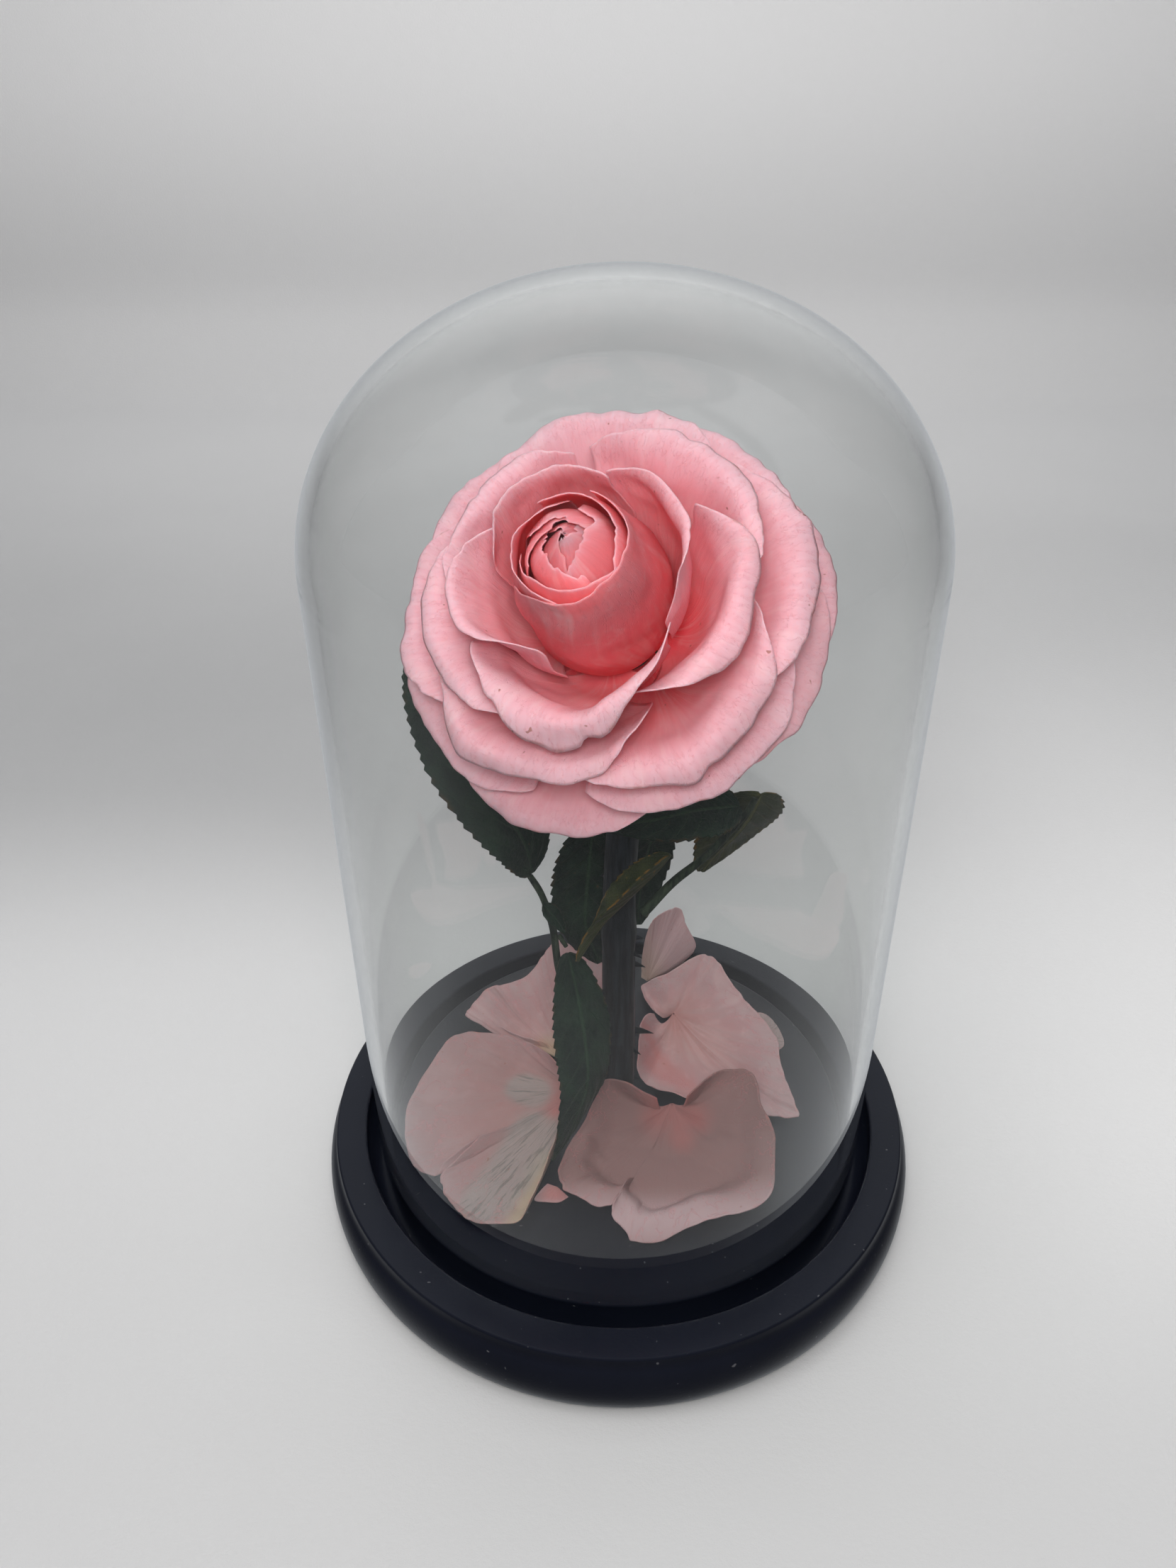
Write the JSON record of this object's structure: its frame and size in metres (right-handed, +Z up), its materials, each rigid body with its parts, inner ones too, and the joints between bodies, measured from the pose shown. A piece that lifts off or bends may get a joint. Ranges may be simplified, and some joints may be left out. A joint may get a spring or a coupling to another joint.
{
  "type": "preserved rose in glass dome",
  "caption": "Preserved pink rose on its thorny stem, with dark leaves and fallen petals, under a clear glass bell on a turned black base.",
  "frame": {"origin": "centre of the base's underside, where the object stands on a table", "axes": "+Z up along the dome's axis, -Y towards the side the bloom nods to, +X to the viewer's right"},
  "size_m": [0.14, 0.14, 0.2048],
  "materials": {
    "black_lacquer": "satin black lacquer",
    "clear_glass": "clear, polished",
    "dark_stem": "matt, dried",
    "calyx_green": "matt, dried",
    "petal_coral": "soft petal, coral pink",
    "petal_pink": "soft petal, light pink",
    "leaf_stalk": "matt, dried",
    "olive_leaf": "matt, dried",
    "dark_leaf": "matt, dried",
    "faded_petal": "thin, faded, slightly see-through"
  },
  "bodies": {
    "root": {"base": "black_lacquer", "glass_dome": "clear_glass", "stem": "dark_stem", "calyx": "calyx_green", "bud_petal_1": "petal_coral", "bud_petal_2": "petal_coral", "bud_petal_3": "petal_coral", "bud_petal_4": "petal_coral", "bud_petal_5": "petal_coral", "bud_petal_6": "petal_coral", "bud_petal_7": "petal_coral", "bud_petal_8": "petal_coral", "bud_petal_9": "petal_coral", "bud_petal_10": "petal_coral", "bud_petal_11": "petal_coral", "petal_inner_upper_left": "petal_pink", "petal_inner_upper_right": "petal_pink", "petal_inner_left": "petal_pink", "petal_inner_front": "petal_pink", "petal_inner_right": "petal_pink", "petal_middle_left": "petal_pink", "petal_middle_upper_left": "petal_pink", "petal_middle_upper_right": "petal_pink", "petal_middle_front_left": "petal_pink", "petal_middle_front_right": "petal_pink", "petal_middle_right": "petal_pink", "petal_outer_top": "petal_pink", "petal_outer_left_fold": "petal_pink", "petal_outer_upper_left": "petal_pink", "petal_outer_upper_right": "petal_pink", "petal_outer_front_right": "petal_pink", "petal_outer_left_upper": "petal_pink", "petal_outer_left": "petal_pink", "petal_outer_right_lower": "petal_pink", "petal_outer_front": "petal_pink", "petal_outer_right": "petal_pink", "leaf_left": "dark_leaf", "leaf_behind_stem": "dark_leaf", "leaf_behind_right": "dark_leaf", "leaf_folded_front": "olive_leaf", "leaf_drooping": "dark_leaf", "leaf_under_bloom": "dark_leaf", "leaf_right": "olive_leaf", "leaf_bract": "dark_leaf", "leaf_stalk_left": "leaf_stalk", "leaf_stalk_right": "leaf_stalk", "leaf_stalk_front": "leaf_stalk", "fallen_petal_front": "faded_petal", "fallen_petal_left_front": "faded_petal", "fallen_petal_left_back": "faded_petal", "fallen_petal_back": "faded_petal", "fallen_petal_right": "faded_petal", "fallen_scrap_right": "faded_petal", "fallen_scrap_front": "faded_petal"}
  },
  "joints": []
}
